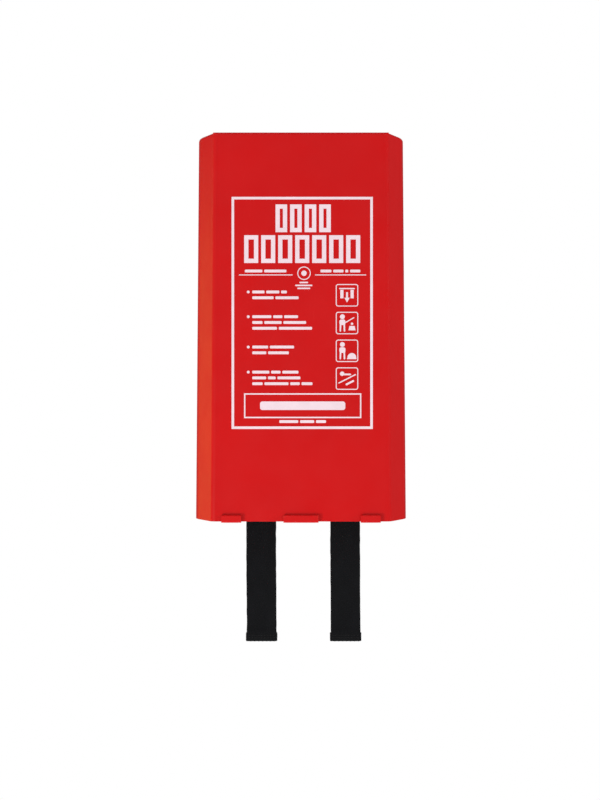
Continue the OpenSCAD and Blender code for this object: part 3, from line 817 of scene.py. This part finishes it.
def drape(points, seed=23):
    """Soft unevenness of a folded pack: faces that swell and sink a little, and softened corners."""
    chance = np.random.default_rng(seed)
    middle_y, half_y = (pack_low.y + pack_high.y) / 2, (pack_high.y - pack_low.y) / 2
    middle_x, half_x = (pack_low.x + pack_high.x) / 2, (pack_high.x - pack_low.x) / 2
    x, y, z = points[..., 0], points[..., 1], points[..., 2]
    corner = 7 * MM
    crown_reach = 246.5 * MM
    inside = np.clip((np.abs(y - middle_y) - (half_y - corner)) / corner, 0, 1)
    pinch = 1 - (1 - np.sqrt(1 - inside**2 * 0.98)) * corner * 0.7 / half_x
    across = (x - middle_x) / half_x
    x = middle_x + (x - middle_x) * pinch
    swell = np.zeros_like(y)
    for _ in range(7):
        way = chance.uniform(-1, 1, 2) * TURN / (90 * MM)
        swell += np.sin(way[0] * x + way[1] * z + chance.uniform(0, TURN)) / 7
    upward = (z - pack_low.z) / crown_reach - 0.6
    crown = 1 - 0.035 * np.abs(across) ** 3 - 0.02 * np.abs(upward) ** 3
    ripple = np.zeros_like(y)
    for _ in range(6):
        way = chance.uniform(-1, 1, 2) * TURN / (34 * MM)
        ripple += np.sin(way[0] * x + way[1] * z + chance.uniform(0, TURN)) / 6
    y = middle_y + (y - middle_y) * (crown - 0.03 * (1 - np.abs(swell)))
    y += swell * 0.6 * MM
    y += ripple * 0.3 * MM
    sideways = np.zeros_like(y)
    for _ in range(5):
        way = chance.uniform(-1, 1, 2) * TURN / (70 * MM)
        sideways += np.sin(way[0] * z + way[1] * 4 * y + chance.uniform(0, TURN)) / 5
    x = x * (1 - 0.004) + sideways * 0.3 * MM
    return np.stack([x, y, z], axis=-1)


def folded_cloth():
    """The whole square of cloth, folded into thirteen layers across and six passes along."""
    xs, heights, flat_across = folds_across()
    line, lefts, flat_along = folds_along()
    rows, columns = len(line), len(xs)
    points = np.zeros((rows, columns, 3))
    depth = line[:, None, 0] + lefts[:, None, 0] * heights[None, :]
    z = line[:, None, 1] + lefts[:, None, 1] * heights[None, :]
    chance = np.random.default_rng(9)
    ragged = chance.uniform(0, 2.2, LAYERS) * MM
    layer = np.clip(np.round(heights / PITCH + (LAYERS - 1) / 2), 0, LAYERS - 1).astype(int)
    z += ragged[layer][None, :] * (1 - eased(flat_along, 0, 30 * MM))[:, None]
    far_end = eased(flat_along, flat_along[-1] - 25 * MM, flat_along[-1])
    z -= 0.5 * ragged[layer][None, :] * far_end[:, None]
    points[..., 0] = (pack_low.x + pack_high.x) / 2 + xs[None, :]
    points[..., 1] = settled(depth, z)
    points[..., 2] = z
    points = drape(points)
    uv = np.zeros((rows, columns, 2))
    uv[..., 0] = flat_across[None, :] * BLANKET_SIDE / flat_across[-1]
    uv[..., 1] = flat_along[:, None] * BLANKET_SIDE / flat_along[-1]
    faces, flat = grid_faces(rows, columns), uv.reshape(-1, 2)
    made = mesh_piece("folded_cloth", points.reshape(-1, 3), faces, cloth_white, flat)
    solid = made.modifiers.new("thickness", "SOLIDIFY")
    solid.thickness = CLOTH
    solid.offset = 0
    return made, points, flat_along


def blanket_stitching(points, along):
    """Thread along the double hem of the outermost layer: down its free side and across its end."""
    hem = 10.5 * MM
    outer = points.shape[1] - 1 - PANEL_STEPS
    outermost = points[:, outer:]
    free_x = outermost[1, -1, 0]
    lift = np.array([0, -CLOTH / 2 - 0.08 * MM, 0])
    top_row = int(np.argmax(outermost[:40, 0, 2]))
    side = []
    for row in outermost[: top_row - 6]:
        order = np.argsort(row[:, 0])
        at = [np.interp(free_x - hem, row[order, 0], row[order, k]) for k in range(3)]
        side.append(np.array(at) + lift)
    share = hem / along[1]
    end = [a * (1 - share) + b * share + lift for a, b in zip(outermost[0], outermost[1])]
    runs = []
    for line in (side, end):
        for start, stop in zip(line[:-1], line[1:]):
            runs.append((start, stop, (0, -1, 0)))
    return sewn("blanket_stitching", runs, thread_pale, *PALE_STITCH, 0.12 * MM)


blanket, blanket_points, blanket_along = folded_cloth()
hem_thread = blanket_stitching(blanket_points, blanket_along)
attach(hem_thread, "blanket")
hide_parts("folded_blanket")
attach(blanket, "blanket")


# ---------------------------------------------------------------- studio

FLOOR_Z = cad_low.z - 0.6
VIEW_DISTANCE = 1.25  # from the camera to the front face
CAMERA_X, CAMERA_Z = -0.8 * MM, -60.2 * MM
LENS_MM = 68.5


def studio_floor():
    """A pale disc, below and around the object and out of the front view, with a painted glow that is
    weak in its middle and grows towards its rim.
    """
    made, tree, shader = finish_of("studio_floor", (0.86, 0.86, 0.86), 0.9)
    shader.inputs["Emission Color"].default_value = (1, 1, 1, 1)
    place = put(tree, "ShaderNodeTexCoord").outputs["Object"]
    from_middle = put(tree, "ShaderNodeVectorMath", {0: place}, operation="LENGTH").outputs["Value"]
    # Painted glow: the floor's emission rises from its middle towards its rim.
    tree.links.new(spread(tree, from_middle, 0.3, 1.1, 0.05, 0.5), shader.inputs["Emission Strength"])
    mesh = bpy.data.meshes.new("studio_floor")
    shape = bmesh.new()
    bmesh.ops.create_circle(shape, cap_ends=True, segments=96, radius=1.15)
    shape.to_mesh(mesh)
    shape.free()
    mesh.materials.append(made)
    floor = bpy.data.objects.new("studio_floor", mesh)
    floor.location = (0, 0, FLOOR_Z)
    bpy.context.scene.collection.objects.link(floor)


def aimed(thing, place, target):
    """Places a lamp or camera and turns it to the target."""
    thing.location = place
    thing.rotation_mode = "QUATERNION"
    thing.rotation_quaternion = (Vector(target) - Vector(place)).to_track_quat("-Z", "Y")
    bpy.context.scene.collection.objects.link(thing)


def soft_light(name, place, target, size, power, colour=(1, 1, 1), glossy=True):
    """A square area light, which glossy surfaces mirror or not."""
    lamp = bpy.data.lights.new(name, "AREA")
    lamp.shape = "SQUARE"
    lamp.size = size
    lamp.energy = power
    lamp.color = colour
    made = bpy.data.objects.new(name, lamp)
    made.visible_camera = False
    made.visible_glossy = glossy
    aimed(made, place, target)
    return made


def studio_world(seen, diffuse, glossy):
    """A white surround: its strength as seen, as soft light, and as reflected."""
    world = bpy.data.worlds.new("studio")
    world.use_nodes = True
    tree = world.node_tree
    tree.nodes.clear()
    ray = put(tree, "ShaderNodeLightPath").outputs
    strength = put(
        tree, "ShaderNodeMix", {0: ray["Is Glossy Ray"], 2: diffuse, 3: glossy}, data_type="FLOAT"
    ).outputs[0]
    strength = put(
        tree, "ShaderNodeMix", {0: ray["Is Camera Ray"], 2: strength, 3: seen}, data_type="FLOAT"
    ).outputs[0]
    surround = put(tree, "ShaderNodeBackground", {"Color": (1, 1, 1, 1), "Strength": strength})
    output = put(tree, "ShaderNodeOutputWorld")
    tree.links.new(surround.outputs[0], output.inputs["Surface"])
    bpy.context.scene.world = world


def front_camera():
    """The camera: level and straight in front, near the height of the object's middle."""
    lens = bpy.data.cameras.new("front")
    lens.lens = LENS_MM
    lens.sensor_width = 36
    lens.clip_start = 0.05
    lens.clip_end = 20
    camera = bpy.data.objects.new("front", lens)
    place = (CAMERA_X, cover_low.y - VIEW_DISTANCE, CAMERA_Z)
    aimed(camera, place, (CAMERA_X, cover_low.y, CAMERA_Z))
    bpy.context.scene.camera = camera


studio_floor()
front_camera()
studio_world(1.0, 0.71, 0.08)
object_middle = (0, cover_low.y, (cad_low.z + cad_high.z) / 2)
soft_light("key", (-0.95, cover_low.y - 0.95, -0.78), object_middle, 0.35, 9.3, (1, 0.96, 0.9))
soft_light("warm_side", (-1.2, 0.55, -0.15), object_middle, 0.8, 2.6, (1, 0.55, 0.12))
soft_light("right_fill", (1.5, -0.4, 0.1), object_middle, 0.8, 7, glossy=False)
soft_light("top_fill", (0, -0.3, 1.4), object_middle, 0.8, 1.6, glossy=False)
soft_light("rear_fill", (-0.4, 0.95, 0.6), object_middle, 0.7, 3, glossy=False)
scene = bpy.context.scene
scene.view_settings.view_transform = "Standard"
scene.view_settings.look = "None"
